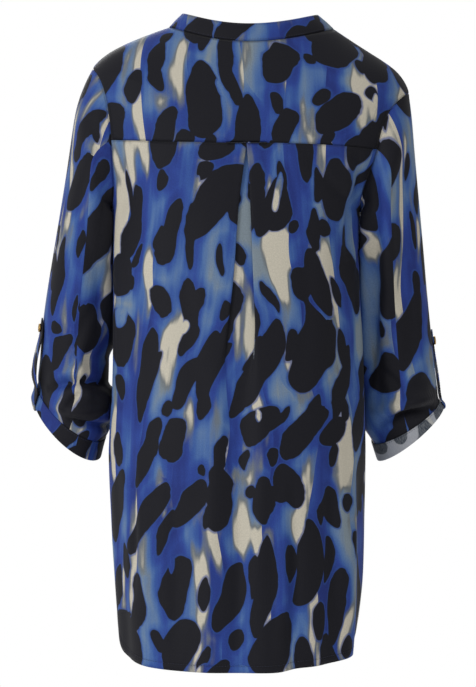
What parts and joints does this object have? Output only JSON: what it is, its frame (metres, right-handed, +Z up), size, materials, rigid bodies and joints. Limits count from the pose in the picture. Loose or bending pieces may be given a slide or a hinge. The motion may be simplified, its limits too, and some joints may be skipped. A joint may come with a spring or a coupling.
{
  "type": "blouse",
  "caption": "Long tunic blouse filled out as worn, with stand collar, back yoke over an inverted pleat, neck slit, shirt-tail hem and rolled sleeves held by buttoned tabs.",
  "frame": {"origin": "the middle of the neck at the height of the shoulders, where the wearer's shoulders hold the blouse up", "axes": "+Z up, the back faces +Y, the front faces -Y, +X towards the wearer's left"},
  "size_m": [0.5249, 0.254, 0.8131],
  "materials": {
    "printed_cloth": "smooth matte viscose with a large animal print in near-black, royal blue, steel blue and beige",
    "wrong_side_cloth": "pale unprinted side of the same cloth",
    "gilt_metal": "polished gilt rim round a dark face"
  },
  "bodies": {
    "root": {"back": "printed_cloth", "back_yoke": "printed_cloth", "front": "printed_cloth", "placket_left": "printed_cloth", "placket_right": "printed_cloth", "collar": "printed_cloth", "sleeve_left": "printed_cloth", "sleeve_right": "printed_cloth", "cuff_left": "printed_cloth", "cuff_right": "wrong_side_cloth", "tab_left": "printed_cloth", "tab_right": "printed_cloth", "button_left": "gilt_metal", "button_right": "gilt_metal"}
  },
  "joints": []
}
